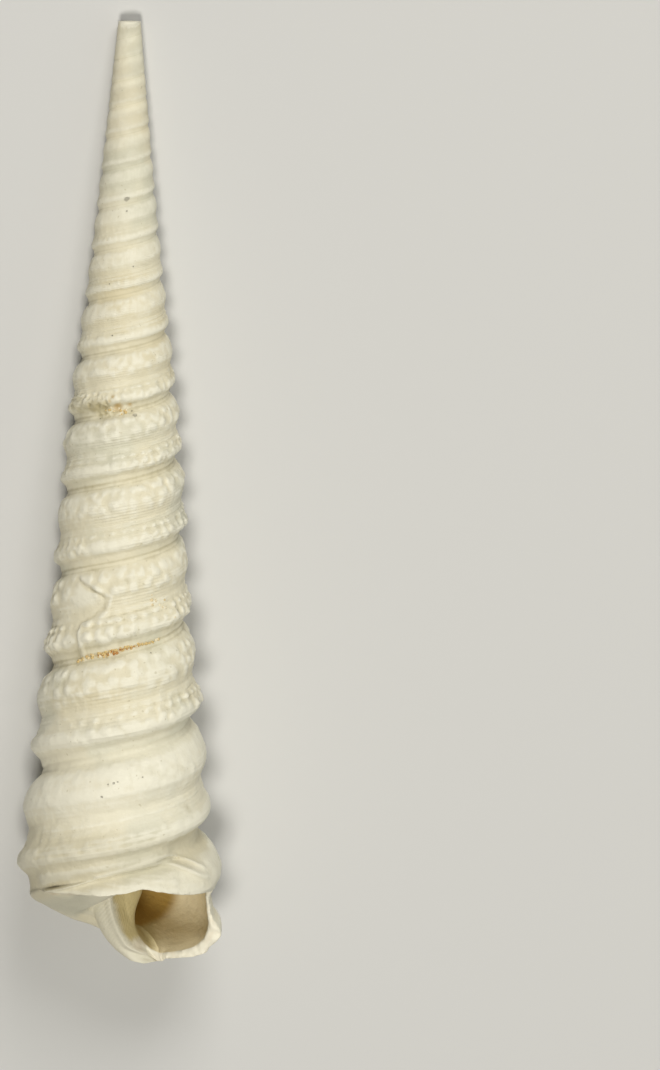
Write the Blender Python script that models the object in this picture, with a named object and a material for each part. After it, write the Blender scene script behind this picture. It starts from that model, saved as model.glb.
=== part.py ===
"""Turritella fossil: a tall, slender sea-snail shell of about sixteen turns, lying on its side.

The shell is one piece. Its wall winds down a cone to the right, every turn a little larger than
the one before by the same rule. Each turn has a swollen shoulder, a spiral groove and a sharp keel.
The tip is broken off flat, and the last turn is broken at the front, which opens the mouth.

Shell frame, while the surface is worked out: the axis runs down -Y from the ideal tip, the mouth
looks up (+Z), azimuth 0 is +X and grows towards +Z. The finished shell lies on z = 0, tip to +Y,
with the origin in the middle of the flat spot under the keel of its last turn.
"""

import math

import bmesh
import bpy
from mathutils import Matrix, Vector

MM = 0.001
TURN = 2.0 * math.pi

# Driving dimensions, in metres and radians.
SUTURE_ZERO = 15.18 * MM        # from the ideal tip down the axis to seam 0, at azimuth 0
GROWTH = 0.1269                 # natural logarithm of how much one turn adds
FIRST_SEAM = -6
TIP_BREAK = 8.38 * MM           # from the ideal tip to the flat break
LAST_SEAM = 11                  # seam above the broken last turn
MOUTH_AZIMUTH = math.radians(10.0)
WALL = 0.65 * MM                # thickness of the wall at its broken edges
FLARE = 0.3 * MM                # how far the last shoulder swells out round the mouth
FLARE_TURNS = 0.12              # and how far round it does
FLARE_END = 0.45                # place in the turn where the swelling ends
STRIP_TURNS = 0.4               # how far the strip of wall left over the mouth hangs down
STRIP_FADE = 0.1                # the strip's wall and roof thin out over this last stretch
ROOF = 0.55 * MM                # thickness of the roof of the mouth, behind the strip
BASE_SLOPE = math.radians(25.0)  # slope of the underside of a turn, in towards the axis
BASE_BULGE = 0.42 * MM          # how far the underside swells below that slope near its rim
BASE_END = 69.72 * MM           # lowest, worn end of the last turn, from the ideal tip
WEAR_SLOPE = 0.18               # how fast the worn end rises towards the back
WEAR_BLEND = 0.35 * MM          # roundness of the edge where the wear begins
UNWORN_END = BASE_END + WEAR_BLEND
PILLAR_RADIUS = 1.0 * MM        # the pillar that the turns wind round
PILLAR_RIM = 0.6                # share of that radius where its worn end is rounded
PILLAR_SWAY = -0.7 * MM         # how far the pillar stands to the left
PILLAR_CURL = 100.0             # and how fast it curves back to the right, for each metre
CURL_START = 65.0 * MM          # below this distance down the axis
SWAY_REACH = 3.5 * MM           # the sway fades out at this radius
SWAY_FADE = 3.0 * MM            # and comes in over this distance below the last seam
CAVITY_TURNS = 0.55             # how far back the open tube runs behind the mouth
CAVITY_LEAD = math.radians(8.0)  # how far the cut for the tube starts in front of the mouth
LIE_SLOPE = math.radians(5.67)  # slope of the axis, down to the tip, when the shell lies on its keels
REST_SEAM = 10.74               # the keel that the shell rests on, below azimuth 270 degrees
WORN_FLAT = 0.16 * MM           # how deep the keels are worn flat where they touch the ground

COLUMNS = 60                    # mesh columns round one turn
ROWS = 20                       # mesh rows down one turn
BASE_STEPS = 10                 # mesh rows from the last seam in to the pillar
CAVITY_SECTIONS = 26
TRIANGLES = 9400
GROUND_BLOCK = (0.04, 0.12, 0.01)  # block that wears the keels flat, below z = 0
GROUND_MIDDLE = (0.0, 0.03, -0.005)

# Outline of one turn: place between its two seams, and radius as a share of the distance from
# the ideal tip.
TURN_OUTLINE = [
    (0.00, 0.0865), (0.03, 0.0905), (0.07, 0.0950), (0.12, 0.0985), (0.18, 0.1012),
    (0.27, 0.1030), (0.35, 0.1005), (0.42, 0.0970), (0.49, 0.0942), (0.54, 0.0952),
    (0.60, 0.0958), (0.64, 0.0975), (0.69, 0.1010), (0.74, 0.1025), (0.79, 0.1000),
    (0.83, 0.0950), (0.88, 0.0895), (0.94, 0.0875), (1.00, 0.0865),
]
OUTLINE_FLOOR = 0.0885

# Girth and strength of relief along the shell, by seam number.
GIRTH = [(-6.0, 0.93), (-3.0, 0.97), (1.0, 0.98), (4.0, 1.015), (7.0, 1.05), (9.0, 0.99), (12.0, 1.0)]
RELIEF = [(-6.0, 0.10), (-2.0, 0.18), (0.0, 0.37), (4.0, 0.60), (6.5, 0.87), (8.2, 0.66),
          (10.0, 0.98), (12.0, 1.05)]

# How far the worn end rises above its lowest place: sideways place, then rise, in millimetres.
BASE_WEAR = [
    (-7.0, 4.2), (-4.7, 3.55), (-3.6, 2.85), (-1.7, 2.0), (-0.8, 1.5), (-0.4, 1.15), (0.1, 0.7),
    (0.95, 0.2), (1.9, 0.0), (3.2, 0.2), (5.0, 0.5), (5.9, 0.8), (6.6, 1.35), (7.0, 1.9),
]

# Section of the open tube at the mouth: radius and distance down the axis, in millimetres.
TUBE_SECTION = [
    (5.50, 62.5), (5.68, 63.6), (5.75, 65.0), (5.90, 66.2), (6.00, 67.1), (5.75, 67.85),
    (4.90, 68.40), (3.40, 68.75), (2.20, 68.75), (1.45, 68.20), (1.25, 67.3), (1.20, 66.3),
    (1.20, 65.0), (1.50, 64.1), (3.20, 63.1), (4.70, 62.4),
]


def clear_scene():
    for old in list(bpy.data.objects):
        bpy.data.objects.remove(old, do_unlink=True)


def read_table(table, place):
    """Value of a short table at a place, joined by straight lines."""
    if place <= table[0][0]:
        return table[0][1]
    for (left, low), (right, high) in zip(table, table[1:]):
        if place <= right:
            return low + (high - low) * (place - left) / (right - left)
    return table[-1][1]


def height(seam, azimuth):
    """Distance down the axis of a spiral line, counted in seams, at an azimuth."""
    return SUTURE_ZERO * math.exp(GROWTH * (seam + azimuth / TURN))


def flare(seam, azimuth):
    """Swelling of the last shoulder round the mouth."""
    place = seam % 1.0
    turned = math.floor(seam) - LAST_SEAM + (azimuth - MOUTH_AZIMUTH) / TURN
    rise = math.sin(math.pi * min(1.0, place / FLARE_END))
    return FLARE * rise * math.exp(-(turned / FLARE_TURNS) ** 2)


def radius(seam, azimuth):
    """Radius of the outside at a spiral line: seams lie at the whole numbers."""
    along = seam + azimuth / TURN
    relief = read_table(TURN_OUTLINE, seam % 1.0) - OUTLINE_FLOOR
    share = OUTLINE_FLOOR * read_table(GIRTH, along) + relief * read_table(RELIEF, along)
    return share * height(seam, azimuth) + flare(seam, azimuth)


def sway(x, down, z):
    """Sideways shift of the base round the pillar, which stands to the left and curls back."""
    inner = min(1.0, 1.5 * max(0.0, 1.0 - math.hypot(x, z) / SWAY_REACH))
    begun = (down - height(LAST_SEAM, MOUTH_AZIMUTH)) / SWAY_FADE
    curl = PILLAR_CURL * max(0.0, min(down, BASE_END) - CURL_START) ** 2
    return (PILLAR_SWAY + curl) * inner * min(1.0, max(0.0, begun))


def worn(x, down, z):
    """Distance down the axis once the broken end is worn, blended where the wear begins."""
    limit = BASE_END - read_table(BASE_WEAR, x / MM) * MM + WEAR_SLOPE * min(0.0, z)
    gap = abs(down - limit)
    return min(down, limit) - 0.25 * max(0.0, WEAR_BLEND - gap) ** 2 / WEAR_BLEND


def shell_point(r, down, azimuth):
    x, z = r * math.cos(azimuth), r * math.sin(azimuth)
    x += sway(x, down, z)
    return Vector((x, -worn(x, down, z), z))


def base_outline(azimuth):
    """Outline below the last seam: the strip left over the mouth, its broken edge, the roof
    of the mouth or the underside of the shell, and the pillar."""
    turned = (azimuth - MOUTH_AZIMUTH) / TURN
    hang = max(0.0, STRIP_TURNS - turned)
    strip_rows = round(STRIP_TURNS * ROWS)
    outline = []
    for row in range(1, strip_rows + 1):
        seam = LAST_SEAM + hang * row / strip_rows
        outline.append((radius(seam, azimuth), height(seam, azimuth)))
    r_seam, seam_down = radius(LAST_SEAM, azimuth), height(LAST_SEAM, azimuth)
    edge_down = outline[-1][1]
    full = min(1.0, hang / STRIP_FADE)
    r_inner = r_seam - WALL * full
    roof_top = seam_down + ROOF * full
    roof_down = roof_top + (r_seam - r_inner) * math.tan(BASE_SLOPE)
    for share in (0.0, 0.3, 0.6, 1.0):
        r = radius(LAST_SEAM + hang * (1.0 - share), azimuth) - WALL * full
        outline.append((r, edge_down + (roof_down - edge_down) * share))
    for step in range(1, BASE_STEPS + 1):
        r = r_inner + (PILLAR_RADIUS - r_inner) * step / BASE_STEPS
        inward = max(0.0, (r_seam - r) / r_seam)
        bulge = BASE_BULGE * (1.0 - full) * math.sin(math.pi * inward ** 0.45)
        outline.append((r, roof_top + inward * r_seam * math.tan(BASE_SLOPE) + bulge))
    inner_down = outline[-1][1]
    for share in (0.25, 0.5, 0.75, 1.0):
        outline.append((PILLAR_RADIUS, inner_down + max(0.0, UNWORN_END - inner_down) * share))
    return outline


def outer_surface():
    """The outside of the whole shell as a spiral grid, filled across the plane of the mouth."""
    bm = bmesh.new()
    seam_rows = (LAST_SEAM - FIRST_SEAM) * ROWS
    columns = []
    for column in range(COLUMNS + 1):
        azimuth = MOUTH_AZIMUTH + TURN * column / COLUMNS
        outline = []
        for row in range(seam_rows + 1):
            seam = FIRST_SEAM + row / ROWS
            outline.append((radius(seam, azimuth), height(seam, azimuth)))
        outline += base_outline(azimuth)
        columns.append([bm.verts.new(shell_point(r, down, azimuth)) for r, down in outline])
    rim = []
    for column in range(COLUMNS):
        azimuth = MOUTH_AZIMUTH + TURN * column / COLUMNS
        rim.append(bm.verts.new(shell_point(PILLAR_RIM * PILLAR_RADIUS, UNWORN_END, azimuth)))
    pole = bm.verts.new(shell_point(0.0, UNWORN_END, 0.0))
    for left, right in zip(columns, columns[1:]):
        for row in range(len(left) - 1):
            bm.faces.new((left[row], left[row + 1], right[row + 1], right[row]))
    for column in range(COLUMNS):
        after = (column + 1) % COLUMNS
        bm.faces.new((columns[column][-1], rim[column], rim[after], columns[column + 1][-1]))
        bm.faces.new((rim[column], pole, rim[after]))
    # Seam by seam, the end of one turn of the grid meets the start of the next.
    shared = seam_rows + round(STRIP_TURNS * ROWS) - ROWS
    start, end = columns[0], columns[-1]
    mouth = start[shared + ROWS:-1] + end[shared + 1:][::-1]
    bm.faces.new(mouth)
    bmesh.ops.remove_doubles(bm, verts=bm.verts, dist=0.00001)
    return bm


def break_tip(bm):
    """Cut the tip off flat and close the break."""
    geom = bm.verts[:] + bm.edges[:] + bm.faces[:]
    bmesh.ops.bisect_plane(bm, geom=geom, plane_co=(0.0, -TIP_BREAK, 0.0),
                           plane_no=(0.0, 1.0, 0.0), clear_outer=True)
    open_edges = [edge for edge in bm.edges if edge.is_boundary]
    bmesh.ops.holes_fill(bm, edges=open_edges, sides=0)


def lie_down():
    """Matrix that lays the shell on its keels, with the origin under the last one."""
    rest_azimuth = 0.75 * TURN
    rest_down = height(REST_SEAM, rest_azimuth)
    rest_radius = radius(REST_SEAM, rest_azimuth) - WORN_FLAT
    return Matrix.Rotation(-LIE_SLOPE, 4, "X") @ Matrix.Translation((0.0, rest_down, rest_radius))


def mesh_object(name, bm):
    bmesh.ops.recalc_face_normals(bm, faces=bm.faces)
    bmesh.ops.triangulate(bm, faces=bm.faces)
    bm.transform(lie_down())
    mesh = bpy.data.meshes.new(name)
    bm.to_mesh(mesh)
    bm.free()
    made = bpy.data.objects.new(name, mesh)
    bpy.context.scene.collection.objects.link(made)
    return made


def tube_cutter():
    """The open tube of the last turn, swept back along the spiral from the mouth."""
    bm = bmesh.new()
    rings = []
    start = MOUTH_AZIMUTH + CAVITY_LEAD
    for section in range(CAVITY_SECTIONS + 1):
        azimuth = start - CAVITY_TURNS * TURN * section / CAVITY_SECTIONS
        scale = math.exp(GROWTH * (azimuth - MOUTH_AZIMUTH) / TURN) * MM
        ring = [bm.verts.new(shell_point(r * scale, down * scale, azimuth)) for r, down in TUBE_SECTION]
        rings.append(ring)
    count = len(TUBE_SECTION)
    for left, right in zip(rings, rings[1:]):
        for place in range(count):
            after = (place + 1) % count
            bm.faces.new((left[place], left[after], right[after], right[place]))
    bm.faces.new(rings[0])
    bm.faces.new(rings[-1])
    cutter = mesh_object("tube_cutter", bm)
    cutter.hide_render = True
    cutter.display_type = "WIRE"
    return cutter


def ground_cutter():
    """A block just below z = 0, which wears the keels flat where they touch the ground."""
    bm = bmesh.new()
    bmesh.ops.create_cube(bm, size=1.0)
    bmesh.ops.scale(bm, verts=bm.verts, vec=GROUND_BLOCK)
    bmesh.ops.translate(bm, verts=bm.verts, vec=GROUND_MIDDLE)
    mesh = bpy.data.meshes.new("ground_cutter")
    bm.to_mesh(mesh)
    bm.free()
    cutter = bpy.data.objects.new("ground_cutter", mesh)
    bpy.context.scene.collection.objects.link(cutter)
    cutter.hide_render = True
    cutter.display_type = "WIRE"
    return cutter


def cut(target, cutter, name):
    modifier = target.modifiers.new(name, "BOOLEAN")
    modifier.operation = "DIFFERENCE"
    modifier.solver = "EXACT"
    modifier.object = cutter


def fossil_material():
    material = bpy.data.materials.new("chalky_shell")
    material.use_nodes = True
    surface = material.node_tree.nodes["Principled BSDF"]
    surface.inputs["Base Color"].default_value = (0.76, 0.71, 0.56, 1.0)
    surface.inputs["Roughness"].default_value = 0.62
    surface.inputs["Metallic"].default_value = 0.0
    return material


def build_shell():
    bm = outer_surface()
    break_tip(bm)
    shell = mesh_object("turritella_shell", bm)
    shell.data.materials.append(fossil_material())
    shell.data.shade_smooth()
    shell.data.set_sharp_from_angle(angle=math.radians(50.0))
    cut(shell, tube_cutter(), "Open mouth")
    thin = shell.modifiers.new("Fewer faces", "DECIMATE")
    thin.decimate_type = "COLLAPSE"
    thin.use_collapse_triangulate = True
    thin.ratio = min(1.0, TRIANGLES / len(shell.data.polygons))
    cut(shell, ground_cutter(), "Worn flats")


clear_scene()
build_shell()
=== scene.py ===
import math

import bmesh
import bpy
import numpy as np
from mathutils import Matrix, Vector
from mathutils.bvhtree import BVHTree


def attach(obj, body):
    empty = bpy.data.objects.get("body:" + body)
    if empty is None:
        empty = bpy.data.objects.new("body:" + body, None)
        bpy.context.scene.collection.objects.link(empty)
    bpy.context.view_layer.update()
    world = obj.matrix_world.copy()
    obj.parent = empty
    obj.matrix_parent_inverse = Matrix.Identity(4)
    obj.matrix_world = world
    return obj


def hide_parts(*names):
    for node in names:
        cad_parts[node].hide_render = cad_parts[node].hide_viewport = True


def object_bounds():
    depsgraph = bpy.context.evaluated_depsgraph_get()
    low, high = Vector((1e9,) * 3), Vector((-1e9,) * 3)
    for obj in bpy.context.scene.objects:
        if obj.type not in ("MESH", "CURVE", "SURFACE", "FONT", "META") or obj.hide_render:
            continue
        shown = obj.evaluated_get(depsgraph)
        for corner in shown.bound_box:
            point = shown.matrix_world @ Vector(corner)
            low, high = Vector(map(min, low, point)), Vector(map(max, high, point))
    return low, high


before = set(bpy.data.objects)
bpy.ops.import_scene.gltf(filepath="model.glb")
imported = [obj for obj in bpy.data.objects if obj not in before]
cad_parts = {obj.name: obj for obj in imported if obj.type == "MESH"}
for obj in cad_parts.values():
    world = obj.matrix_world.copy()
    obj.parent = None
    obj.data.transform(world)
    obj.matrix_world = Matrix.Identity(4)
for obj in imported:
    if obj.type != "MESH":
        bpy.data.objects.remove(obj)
cad_low, cad_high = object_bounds()

# --- The wound wall ---------------------------------------------------------------------------
# The wall of the shell, chalky aragonite, laid down by the animal as one tube that winds down a
# cone to the right. Every turn is the one before, made larger by the same rule, so the wall is one
# grid that goes round the axis, with its shoulders, cords, nodules and keels worked out on it.

MM = 0.001
TURN = 2.0 * math.pi

SUTURE_ZERO = 15.18 * MM        # from the ideal tip down the axis to seam 0, at azimuth 0
GROWTH = 0.1269                 # natural logarithm of how much one turn adds
FIRST_SEAM = -6
LAST_SEAM = 11                  # seam above the broken last turn
MOUTH_AZIMUTH = math.radians(10.0)
FLARE = 0.3 * MM                # how far the last shoulder swells out round the mouth
FLARE_TURNS = 0.12              # and how far round it does
FLARE_END = 0.45                # place in the turn where the swelling ends
STRIP_TURNS = 0.4               # how far the strip of wall left over the mouth hangs down
STRIP_WORN = 0.030              # how much of it has worn off all along, in turns
STRIP_NOTCH = (math.radians(71.0), 0.24, 0.048)  # where, how wide and how deep a bite is gone
SIZE_AT = 66.0 * MM             # the heights below hold this far down; they shrink towards the tip
COLUMNS = 320                   # round one turn
ROWS = 72                       # down one turn
STRIP_ROWS = 26                 # down the strip that hangs over the mouth
NODULE_NOISE = (560.0, 110.0)   # how fine the wobble of the first row is, and how much finer the next
SWAY_NOISE = (410.0, 60.0)      # and in the same way how the rows stray up and down
COBBLE_NOISE = 1350.0           # how closely the lumps on the shoulders stand
PATCHY_NOISE = 300.0            # how closely spots with and without nodules follow on each other
CORD_NOISE, WANDER_NOISE = 420.0, 160.0  # and worn spots on the cords, and bends in them
SWELL_NOISE = 520.0             # and the low, uneven swells all over
WRINKLES = (24.0, 1.6)          # growth wrinkles: round the turn, and down it
CHIP_NOISE = 5.0                # chips in the broken edge of the strip

# Place between two seams, and radius as a share of the distance from the ideal tip.
TURN_OUTLINE = [
    (0.00, 0.0865), (0.03, 0.0905), (0.07, 0.0950), (0.12, 0.0985), (0.18, 0.1012),
    (0.27, 0.1030), (0.35, 0.1005), (0.42, 0.0970), (0.49, 0.0942), (0.54, 0.0952),
    (0.60, 0.0958), (0.64, 0.0975), (0.69, 0.1010), (0.74, 0.1025), (0.79, 0.1000),
    (0.83, 0.0950), (0.88, 0.0895), (0.94, 0.0875), (1.00, 0.0865),
]
OUTLINE_FLOOR = 0.0885
GIRTH = [(-6.0, 0.93), (-3.0, 0.97), (1.0, 0.98), (4.0, 1.015), (7.0, 1.05), (9.0, 0.99), (12.0, 1.0)]
RELIEF = [(-6.0, 0.10), (-2.0, 0.18), (0.0, 0.37), (4.0, 0.60), (6.5, 0.87), (8.2, 0.66),
          (10.0, 0.98), (12.0, 1.05)]
# Rows of nodules: place between two seams, half width, number in a turn, share of the full height.
NODULE_ROWS = [(0.095, 0.040, 37, 0.8), (0.25, 0.075, 23, 0.55), (0.612, 0.026, 37, 1.0),
               (0.70, 0.040, 37, 0.9), (0.77, 0.035, 41, 0.8)]
# Raised cords and cut lines that run along the spiral: place, half width, share of the full height.
CORDS = [(0.385, 0.014, 0.4), (0.445, 0.013, 0.6), (0.505, 0.014, 0.7), (0.562, 0.013, -1.1),
         (0.605, 0.018, 0.8), (0.845, 0.014, -0.4)]
# Where uneven lumps stand, between two seams.
COBBLE_ZONE = [(0.0, 0.2), (0.05, 0.8), (0.20, 0.9), (0.36, 0.5), (0.45, 0.15), (0.52, 0.2), (0.60, 0.8),
               (0.78, 0.9), (0.85, 0.3), (0.92, 0.0), (1.0, 0.1)]
SEAM_CREASE = (0.945, 0.021)    # place and half width of the crease above each seam
# How strong the crease, the nodules and the cords are along the shell, by seam number.
CREASE_STRENGTH = [(-6.0, 0.8), (10.0, 0.9), (10.7, 0.9), (11.0, 0.1), (11.4, 0.1), (11.6, 1.0),
                   (12.0, 1.0)]
NODULE_STRENGTH = [(-6.0, 0.05), (0.0, 0.12), (3.5, 0.3), (5.2, 0.65), (6.5, 1.0), (9.4, 0.9), (10.2, 0.3),
                   (12.0, 0.15)]
CORD_STRENGTH = [(-6.0, 0.1), (1.0, 0.35), (4.5, 0.8), (9.5, 0.9), (10.4, 0.45), (12.0, 0.5)]


class Value:
    """A number, vector or colour that a node tree works out, with arithmetic as for numbers."""

    def __init__(self, tree, socket):
        self.tree, self.socket = tree, socket

    def __add__(self, other):
        return joined("ADD", self, other)

    def __sub__(self, other):
        return joined("SUBTRACT", self, other)

    def __rsub__(self, other):
        return joined("SUBTRACT", other, self)

    def __mul__(self, other):
        return joined("MULTIPLY", self, other)

    def __truediv__(self, other):
        return joined("DIVIDE", self, other)


def feed(socket, value):
    """Give a node's input a plain value, or one that the tree works out."""
    if isinstance(value, Value):
        value.tree.links.new(value.socket, socket)
    else:
        socket.default_value = value


def joined(operation, *values):
    """One piece of arithmetic in a node tree."""
    tree = next(value.tree for value in values if isinstance(value, Value))
    node = tree.nodes.new("ShaderNodeMath")
    node.operation = operation
    for place, value in enumerate(values):
        feed(node.inputs[place], value)
    return Value(tree, node.outputs[0])


def table_curve(value, table):
    """A smooth curve through a short table, read at a value."""
    places = [place for place, _ in table]
    levels = [level for _, level in table]
    first, last = places[0], places[-1]
    low, high = min(levels), max(levels)
    node = value.tree.nodes.new("ShaderNodeFloatCurve")
    points = node.mapping.curves[0].points
    for place, level in table[1:-1]:
        points.new((place - first) / (last - first), (level - low) / (high - low))
    points[0].location = (0.0, (levels[0] - low) / (high - low))
    points[len(points) - 1].location = (1.0, (levels[-1] - low) / (high - low))
    node.mapping.update()
    feed(node.inputs["Value"], (value - first) / (last - first))
    return Value(value.tree, node.outputs["Value"]) * (high - low) + low


def vector_of(x, y, z):
    """One vector in a node tree, from three numbers of which the first is worked out there."""
    node = x.tree.nodes.new("ShaderNodeCombineXYZ")
    for place, value in enumerate((x, y, z)):
        feed(node.inputs[place], value)
    return Value(x.tree, node.outputs[0])


def rough_field(vector, scale, detail=2.0):
    """Noise between about -0.5 and 0.5 at a vector."""
    node = vector.tree.nodes.new("ShaderNodeTexNoise")
    node.inputs["Scale"].default_value = scale
    node.inputs["Detail"].default_value = detail
    feed(node.inputs["Vector"], vector)
    return Value(vector.tree, node.outputs["Fac"]) - 0.5


def bell_of(value, middle, width):
    """A rounded hump in a node tree: 1 at the middle, gone at about twice the width."""
    off = (value - middle) / width
    return joined("EXPONENT", off * off * -1.0)


def nodules_of(azimuth, place, spot, patchy):
    """Height of all the rows of nodules, at most about 1, uneven in size and partly missing."""
    total = 0.0
    for index, (middle, width, count, share) in enumerate(NODULE_ROWS):
        wobble = rough_field(spot, NODULE_NOISE[0] + NODULE_NOISE[1] * index) * 8.0
        phase = azimuth * float(count) + wobble
        wave = joined("POWER", joined("COSINE", phase) * 0.5 + 0.5, 1.5)
        sway = rough_field(spot, SWAY_NOISE[0] + SWAY_NOISE[1] * index) * 0.05 + place
        total = bell_of(sway, middle, width) * wave * share + total
    return total * patchy


def cobbles_of(spot):
    """Rounded, uneven lumps, between 0 and about 1."""
    node = spot.tree.nodes.new("ShaderNodeTexVoronoi")
    node.feature = "F1"
    node.inputs["Scale"].default_value = COBBLE_NOISE
    feed(node.inputs["Vector"], spot)
    return joined("MAXIMUM", Value(spot.tree, node.outputs["Distance"]) * -1.35 + 1.0, 0.0)


def cords_of(place):
    """Height of all the spiral cords, at most 1."""
    total = 0.0
    for middle, width, share in CORDS:
        total = bell_of(place, middle, width) * share + total
    return total


def wound_wall_tree(material):
    """Geometry nodes for the wall: a flat grid, wound round the axis by the growth rule."""
    tree = bpy.data.node_groups.new("wound_wall", "GeometryNodeTree")
    face = tree.interface
    face.new_socket("Geometry", in_out="OUTPUT", socket_type="NodeSocketGeometry")
    sizes = [("Suture zero", SUTURE_ZERO), ("Growth", GROWTH), ("Flare", FLARE),
             ("Nodule height", 0.17 * MM), ("Cobble height", 0.38 * MM),
             ("Cord height", 0.085 * MM), ("Crease depth", 0.14 * MM),
             ("Wrinkle height", 0.06 * MM), ("Unevenness", 0.20 * MM), ("Edge roughness", 0.016)]
    for name, value in sizes:
        socket = face.new_socket(name, in_out="INPUT", socket_type="NodeSocketFloat")
        socket.default_value = value
    for name in ("Columns", "Rows"):
        face.new_socket(name, in_out="INPUT", socket_type="NodeSocketInt")
    given = {entry.name: Value(tree, entry) for entry in tree.nodes.new("NodeGroupInput").outputs}

    grid = tree.nodes.new("GeometryNodeMeshGrid")
    feed(grid.inputs["Vertices X"], given["Columns"] + 1)
    feed(grid.inputs["Vertices Y"], given["Rows"] + 1)
    flat = tree.nodes.new("ShaderNodeSeparateXYZ")
    tree.links.new(tree.nodes.new("GeometryNodeInputPosition").outputs[0], flat.inputs[0])

    # Turns round from the mouth, and seams down, with the rows crowded on the cords.
    turned = Value(tree, flat.outputs["X"]) + 0.5
    azimuth = turned * TURN + MOUTH_AZIMUTH
    rows_down = (Value(tree, flat.outputs["Y"]) + 0.5) * given["Rows"] / ROWS
    strip_share = STRIP_ROWS / ROWS
    crowding = (STRIP_TURNS - strip_share) / math.sin(TURN * strip_share)
    wave = joined("SINE", rows_down * TURN)
    seam_row = wave * crowding + rows_down + FIRST_SEAM

    # The last rows hang down over the mouth, to a broken edge that is nearly level.
    over = joined("MAXIMUM", seam_row - LAST_SEAM, 0.0)
    hang = joined("MAXIMUM", STRIP_TURNS - turned, 0.0)
    middle = joined("SINE", hang * (math.pi / STRIP_TURNS))
    chips = rough_field(vector_of(azimuth, 0.0, 0.0), CHIP_NOISE, 6.0)
    ragged = chips * middle * (given["Edge roughness"] * 3.0) - middle * STRIP_WORN
    ragged = ragged - bell_of(azimuth, *STRIP_NOTCH[:2]) * STRIP_NOTCH[2]
    hung = over * (hang + ragged) / STRIP_TURNS
    seam = joined("MINIMUM", seam_row, LAST_SEAM) + hung
    along = seam + azimuth / TURN
    place = joined("FRACT", seam - FIRST_SEAM)
    down = joined("EXPONENT", along * given["Growth"]) * given["Suture zero"]
    size = down / SIZE_AT

    # The smooth outline of a turn, and the last shoulder swollen at the mouth.
    outline = table_curve(place, TURN_OUTLINE)
    relief = (outline - OUTLINE_FLOOR) * table_curve(along, RELIEF)
    share = table_curve(along, GIRTH) * OUTLINE_FLOOR + relief
    rise = joined("SINE", joined("MINIMUM", place / FLARE_END, 1.0) * math.pi)
    total_turned = joined("FLOOR", seam) - LAST_SEAM + turned
    swollen = rise * given["Flare"] * bell_of(total_turned, 0.0, FLARE_TURNS)
    smooth = share * down + swollen

    # Nodules, cords, the crease, growth wrinkles and unevenness stand on it.
    cosine = joined("COSINE", azimuth)
    sine = joined("SINE", azimuth)
    spot = vector_of(cosine * smooth, down * -1.0, sine * smooth)
    patchy = rough_field(spot, PATCHY_NOISE) * 3.2 + 0.70
    patchy = joined("MINIMUM", joined("MAXIMUM", patchy, 0.15), 1.0)
    nodule = (given["Nodule height"] * table_curve(along, NODULE_STRENGTH)
              * nodules_of(azimuth, place, spot, patchy))
    zone = table_curve(place, COBBLE_ZONE) * table_curve(along, NODULE_STRENGTH)
    cobble = given["Cobble height"] * zone * (cobbles_of(spot) * patchy)
    worn_cord = rough_field(spot, CORD_NOISE) * 2.0 + 0.8
    wander = rough_field(spot, WANDER_NOISE) * 0.02 + place
    cord = given["Cord height"] * worn_cord * (cords_of(wander) * table_curve(along, CORD_STRENGTH))
    crease = (given["Crease depth"] * -1.0
              * (bell_of(wander, *SEAM_CREASE) * table_curve(along, CREASE_STRENGTH)))
    lines = vector_of(cosine * WRINKLES[0], along * WRINKLES[1], sine * WRINKLES[0])
    wrinkle = rough_field(lines, 1.0) * given["Wrinkle height"]
    swell = rough_field(spot, SWELL_NOISE, 3.0) * given["Unevenness"]
    detail = nodule + (cord + crease) + (wrinkle + cobble + swell)
    radius = detail * size + smooth

    lay = tree.nodes.new("GeometryNodeSetPosition")
    tree.links.new(grid.outputs["Mesh"], lay.inputs["Geometry"])
    feed(lay.inputs["Position"], vector_of(cosine * radius, down * -1.0, sine * radius))
    real = tree.nodes.new("GeometryNodeRealizeInstances")
    tree.links.new(lay.outputs["Geometry"], real.inputs["Geometry"])
    coat = tree.nodes.new("GeometryNodeSetMaterial")
    coat.inputs["Material"].default_value = material
    tree.links.new(real.outputs["Geometry"], coat.inputs["Geometry"])
    tree.links.new(coat.outputs["Geometry"], tree.nodes.new("NodeGroupOutput").inputs["Geometry"])
    return tree


def placed(name, data):
    """A new object in the scene, at the origin."""
    thing = bpy.data.objects.new(name, data)
    bpy.context.scene.collection.objects.link(thing)
    return thing


def made_by_nodes(name, tree, **inputs):
    """Plain mesh that a node tree makes."""
    holder = placed(name, bpy.data.meshes.new(name))
    maker = holder.modifiers.new("made", "NODES")
    maker.node_group = tree
    for item in tree.interface.items_tree:
        if item.in_out == "INPUT":
            maker[item.identifier] = inputs.get(item.name.lower().replace(" ", "_"), item.default_value)
    shown = holder.evaluated_get(bpy.context.evaluated_depsgraph_get())
    mesh = bpy.data.meshes.new_from_object(shown)
    bpy.data.objects.remove(holder)
    return mesh


chalky_shell = bpy.data.materials.new("chalky_shell")
chalky_shell.use_nodes = True
wall_rows = (LAST_SEAM - FIRST_SEAM) * ROWS + STRIP_ROWS
wall = made_by_nodes("wound_wall", wound_wall_tree(chalky_shell), columns=COLUMNS, rows=wall_rows)


# --- The base, the pillar and the mouth --------------------------------------------------------
# Below the last seam the shell closes in to the pillar that the turns wind round. The last turn is
# broken at the front: a strip of its wall hangs over the mouth, and the tube behind it is open. The
# pillar's inner lip stands up in front, and the broken wall shows its thickness all round.

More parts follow.
